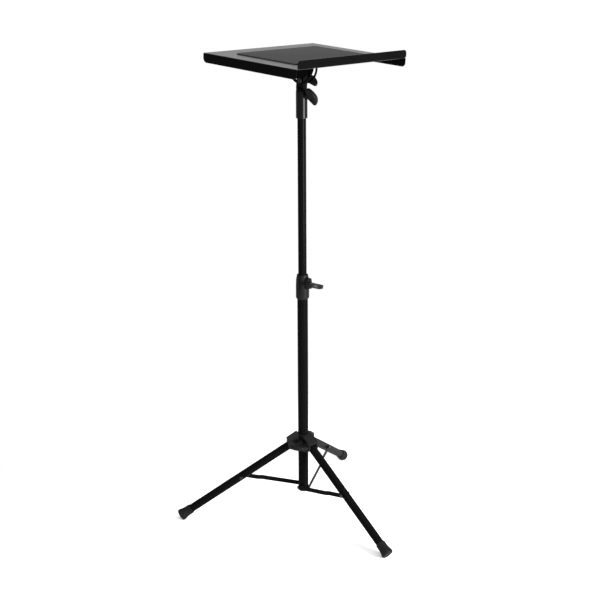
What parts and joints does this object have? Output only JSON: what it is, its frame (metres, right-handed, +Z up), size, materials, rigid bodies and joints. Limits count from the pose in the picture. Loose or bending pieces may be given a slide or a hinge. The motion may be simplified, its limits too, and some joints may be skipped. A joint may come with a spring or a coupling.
{
  "type": "laptop tripod stand",
  "caption": "Black tripod stand with a tilting lipped tray on a telescopic mast, a clamp collar, a sliding leg hub with folding legs and struts, and wing knobs.",
  "frame": {"origin": "point on the floor under the mast's axis, at the centre of the ring of feet", "axes": "+Z up along the mast; the tray's lip faces -Y, where the user stands, and the tray's width runs along X"},
  "size_m": [0.6092, 0.5662, 1.2602],
  "materials": {
    "steel_coat": "fine satin black powder coat",
    "moulding": "matt moulded nylon",
    "knob": "matt moulded nylon with a slight sheen",
    "pad_rubber": "foamed rubber with a fine grain",
    "foot_rubber": "moulded rubber",
    "black_zinc": "black zinc plated steel"
  },
  "bodies": {
    "base": {"lower_tube": "steel_coat", "tube_plug": "moulding", "collar": "moulding", "plug_rivet_right": "black_zinc", "plug_rivet_left": "black_zinc", "plug_rivet_front": "black_zinc"},
    "collar_knob": {"collar_knob": "knob"},
    "mast": {"upper_tube": "steel_coat"},
    "head": {"socket": "steel_coat", "head": "moulding", "slot_bolt": "black_zinc"},
    "socket_knob": {"socket_knob": "knob"},
    "tilt_knob": {"tilt_knob": "knob"},
    "tray": {"tray": "steel_coat", "tray_pad": "pad_rubber", "cheek_left": "steel_coat", "cheek_right": "steel_coat", "tilt_bolt": "black_zinc"},
    "hub": {"hub": "moulding", "leg_bolt_right": "black_zinc", "leg_bolt_left": "black_zinc", "leg_bolt_front": "black_zinc"},
    "hub_knob": {"hub_knob": "knob"},
    "leg_right": {"leg_right": "steel_coat", "foot_right": "foot_rubber", "leg_rivet_right": "black_zinc"},
    "strut_right": {"strut_right": "steel_coat", "strut_rivet_right": "black_zinc"},
    "leg_left": {"leg_left": "steel_coat", "foot_left": "foot_rubber", "leg_rivet_left": "black_zinc"},
    "strut_left": {"strut_left": "steel_coat", "strut_rivet_left": "black_zinc"},
    "leg_front": {"leg_front": "steel_coat", "foot_front": "foot_rubber", "leg_rivet_front": "black_zinc"},
    "strut_front": {"strut_front": "steel_coat", "strut_rivet_front": "black_zinc"}
  },
  "joints": [
    {"name": "mast_slide", "type": "slide", "parent": "base", "child": "mast", "axis": [0, 0, 1], "range_m": [-0.4, 0.05]},
    {"name": "head_swivel", "type": "hinge", "parent": "mast", "child": "head", "pos_m": [0, 0, 1.13], "axis": [0, 0, 1], "continuous": true},
    {"name": "tray_tilt", "type": "hinge", "parent": "head", "child": "tray", "pos_m": [0, -0.004, 1.2217], "axis": [1, 0, 0], "range_deg": [-18, 70]},
    {"name": "tilt_knob_turn", "type": "hinge", "parent": "head", "child": "tilt_knob", "pos_m": [0.03, -0.004, 1.189], "axis": [1, 0, 0], "continuous": true},
    {"name": "socket_knob_turn", "type": "hinge", "parent": "head", "child": "socket_knob", "pos_m": [0, -0.03, 1.15], "axis": [0, -1, 0], "continuous": true},
    {"name": "collar_knob_turn", "type": "hinge", "parent": "base", "child": "collar_knob", "pos_m": [0, -0.035, 0.664], "axis": [0, -1, 0], "continuous": true},
    {"name": "hub_slide", "type": "slide", "parent": "base", "child": "hub", "axis": [0, 0, 1], "range_m": [0, 0.2106]},
    {"name": "hub_knob_turn", "type": "hinge", "parent": "hub", "child": "hub_knob", "pos_m": [-0.03217, -0.01379, 0.213], "axis": [-0.9191, -0.3939, 0], "continuous": true},
    {"name": "leg_right_fold", "type": "hinge", "parent": "hub", "child": "leg_right", "pos_m": [0.03125, 0.01339, 0.204], "axis": [-0.3939, 0.9191, 0], "range_deg": [0, 57.1]},
    {"name": "strut_right_fold", "type": "hinge", "parent": "base", "child": "strut_right", "pos_m": [0.00654, -0.01526, 0.0728], "axis": [0.3939, -0.9191, 0], "range_deg": [0, 64]},
    {"name": "leg_left_fold", "type": "hinge", "parent": "hub", "child": "leg_left", "pos_m": [-0.02722, 0.02037, 0.204], "axis": [-0.599, -0.8007, 0], "range_deg": [0, 57.1]},
    {"name": "strut_left_fold", "type": "hinge", "parent": "base", "child": "strut_left", "pos_m": [0.00994, 0.01329, 0.0728], "axis": [0.599, 0.8007, 0], "range_deg": [0, 64]},
    {"name": "leg_front_fold", "type": "hinge", "parent": "hub", "child": "leg_front", "pos_m": [-0.00403, -0.03376, 0.204], "axis": [0.993, -0.1184, 0], "range_deg": [0, 57.1]},
    {"name": "strut_front_fold", "type": "hinge", "parent": "base", "child": "strut_front", "pos_m": [-0.01648, 0.00197, 0.0728], "axis": [-0.993, 0.1184, 0], "range_deg": [0, 64]}
  ],
  "couplings": [
    {"joint": "leg_right_fold", "follows": "hub_slide", "rad_per_m": 4.7238},
    {"joint": "strut_right_fold", "follows": "hub_slide", "rad_per_m": 5.2943},
    {"joint": "leg_left_fold", "follows": "hub_slide", "rad_per_m": 4.7238},
    {"joint": "strut_left_fold", "follows": "hub_slide", "rad_per_m": 5.2943},
    {"joint": "leg_front_fold", "follows": "hub_slide", "rad_per_m": 4.7238},
    {"joint": "strut_front_fold", "follows": "hub_slide", "rad_per_m": 5.2943}
  ]
}
